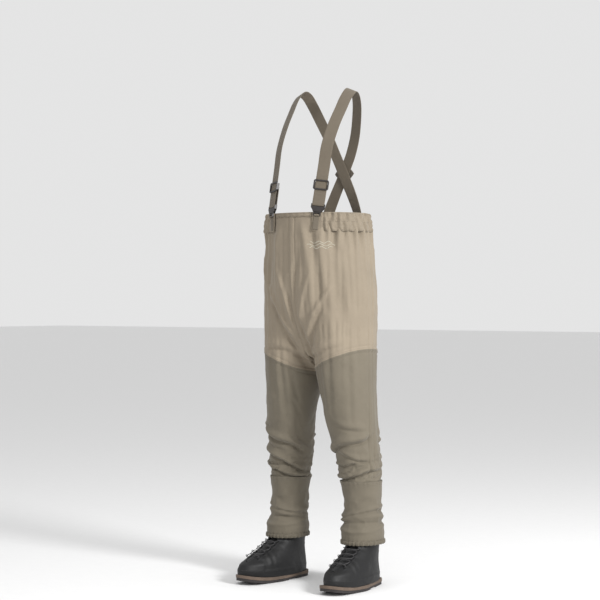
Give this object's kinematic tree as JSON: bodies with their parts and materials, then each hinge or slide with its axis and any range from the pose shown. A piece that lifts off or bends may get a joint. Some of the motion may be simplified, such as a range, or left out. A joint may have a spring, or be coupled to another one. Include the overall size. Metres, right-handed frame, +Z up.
{
  "type": "chest waders",
  "caption": "Bib-front stockingfoot chest waders with elastic sides, crossed shoulder straps on quick-release buckles, gravel guards and laced wading boots.",
  "frame": {"origin": "on the floor under the middle of the whole part, standing as worn", "axes": "+Z up, the front faces -Y, the wearer's left is +X"},
  "size_m": [0.4514, 0.3814, 1.6449],
  "materials": {
    "shell_fabric": "matt woven nylon laminate, taupe",
    "reinforced_fabric": "matt heavier nylon laminate, darker taupe",
    "elastic_fabric": "matt nylon over gathered elastic",
    "seam_tape": "smooth heat-bonded tape",
    "webbing": "woven webbing",
    "patch_fabric": "matt coated fabric",
    "buckle_plastic": "moulded acetal",
    "boot_leather": "matt black synthetic leather",
    "outsole_rubber": "moulded rubber",
    "midsole_foam": "tan foam",
    "insole_foam": "soft foam",
    "neoprene": "jersey-faced neoprene",
    "lace_cord": "braided cord",
    "loop_metal": "black painted steel"
  },
  "bodies": {
    "waders": {"anchor_tab_left": "webbing", "anchor_tab_right": "webbing", "back_hem": "elastic_fabric", "back_panel_left": "shell_fabric", "back_panel_right": "shell_fabric", "back_seam_tape": "seam_tape", "boot_insole_left": "insole_foam", "boot_insole_right": "insole_foam", "boot_laces_left": "lace_cord", "boot_laces_right": "lace_cord", "boot_midsole_left": "midsole_foam", "boot_midsole_right": "midsole_foam", "boot_outsole_left": "outsole_rubber", "boot_outsole_right": "outsole_rubber", "boot_tongue_left": "boot_leather", "boot_tongue_right": "boot_leather", "boot_upper_left": "boot_leather", "boot_upper_right": "boot_leather", "buckle_socket_left": "buckle_plastic", "buckle_socket_right": "buckle_plastic", "front_hem": "elastic_fabric", "front_panel_left": "shell_fabric", "front_panel_right": "shell_fabric", "front_seam_tape": "seam_tape", "gravel_guard_left": "reinforced_fabric", "gravel_guard_right": "reinforced_fabric", "guard_hem_left": "reinforced_fabric", "guard_hem_right": "reinforced_fabric", "lace_loops_left": "loop_metal", "lace_loops_right": "loop_metal", "lower_leg_panel_left": "reinforced_fabric", "lower_leg_panel_right": "reinforced_fabric", "shoulder_strap_left": "webbing", "shoulder_strap_right": "webbing", "side_casing_left": "elastic_fabric", "side_casing_right": "elastic_fabric", "side_elastic_left": "elastic_fabric", "side_elastic_right": "elastic_fabric", "stocking_foot_left": "neoprene", "stocking_foot_right": "neoprene", "strap_patch": "patch_fabric", "strap_tail_left": "webbing", "strap_tail_right": "webbing"},
    "slider_left_body": {"slider_left": "buckle_plastic", "strap_end_loop_left": "webbing"},
    "insert_left_body": {"buckle_insert_left": "buckle_plastic"},
    "prong_inner_left_body": {"buckle_prong_inner_left": "buckle_plastic"},
    "prong_outer_left_body": {"buckle_prong_outer_left": "buckle_plastic"},
    "slider_right_body": {"slider_right": "buckle_plastic", "strap_end_loop_right": "webbing"},
    "insert_right_body": {"buckle_insert_right": "buckle_plastic"},
    "prong_inner_right_body": {"buckle_prong_inner_right": "buckle_plastic"},
    "prong_outer_right_body": {"buckle_prong_outer_right": "buckle_plastic"}
  },
  "joints": [
    {"name": "slider_left_slide", "type": "slide", "parent": "waders", "child": "slider_left_body", "axis": [0.0169, 0.2325, 0.9724], "range_m": [-0.025, 0.06], "deforming": ["strap_tail_left"]},
    {"name": "buckle_left_release", "type": "slide", "parent": "waders", "child": "insert_left_body", "axis": [-0.0169, -0.2325, -0.9724], "range_m": [0, 0.02], "deforming": ["anchor_tab_left"]},
    {"name": "prong_inner_left_flex", "type": "hinge", "parent": "insert_left_body", "child": "prong_inner_left_body", "pos_m": [0.08387, -0.13086, 1.22595], "axis": [-0.451, 0.8698, -0.2001], "range_deg": [0, 6], "stiffness_Nm_per_rad": 0.004},
    {"name": "prong_outer_left_flex", "type": "hinge", "parent": "insert_left_body", "child": "prong_outer_left_body", "pos_m": [0.0985, -0.12372, 1.22399], "axis": [0.451, -0.8698, 0.2001], "range_deg": [0, 6], "stiffness_Nm_per_rad": 0.004},
    {"name": "slider_right_slide", "type": "slide", "parent": "waders", "child": "slider_right_body", "axis": [-0.0169, 0.2325, 0.9724], "range_m": [-0.025, 0.06], "deforming": ["strap_tail_right"]},
    {"name": "buckle_right_release", "type": "slide", "parent": "waders", "child": "insert_right_body", "axis": [0.0169, -0.2325, -0.9724], "range_m": [0, 0.02], "deforming": ["anchor_tab_right"]},
    {"name": "prong_inner_right_flex", "type": "hinge", "parent": "insert_right_body", "child": "prong_inner_right_body", "pos_m": [-0.08387, -0.13086, 1.22595], "axis": [-0.451, -0.8698, 0.2001], "range_deg": [0, 6], "stiffness_Nm_per_rad": 0.004},
    {"name": "prong_outer_right_flex", "type": "hinge", "parent": "insert_right_body", "child": "prong_outer_right_body", "pos_m": [-0.0985, -0.12372, 1.22399], "axis": [0.451, 0.8698, -0.2001], "range_deg": [0, 6], "stiffness_Nm_per_rad": 0.004}
  ]
}
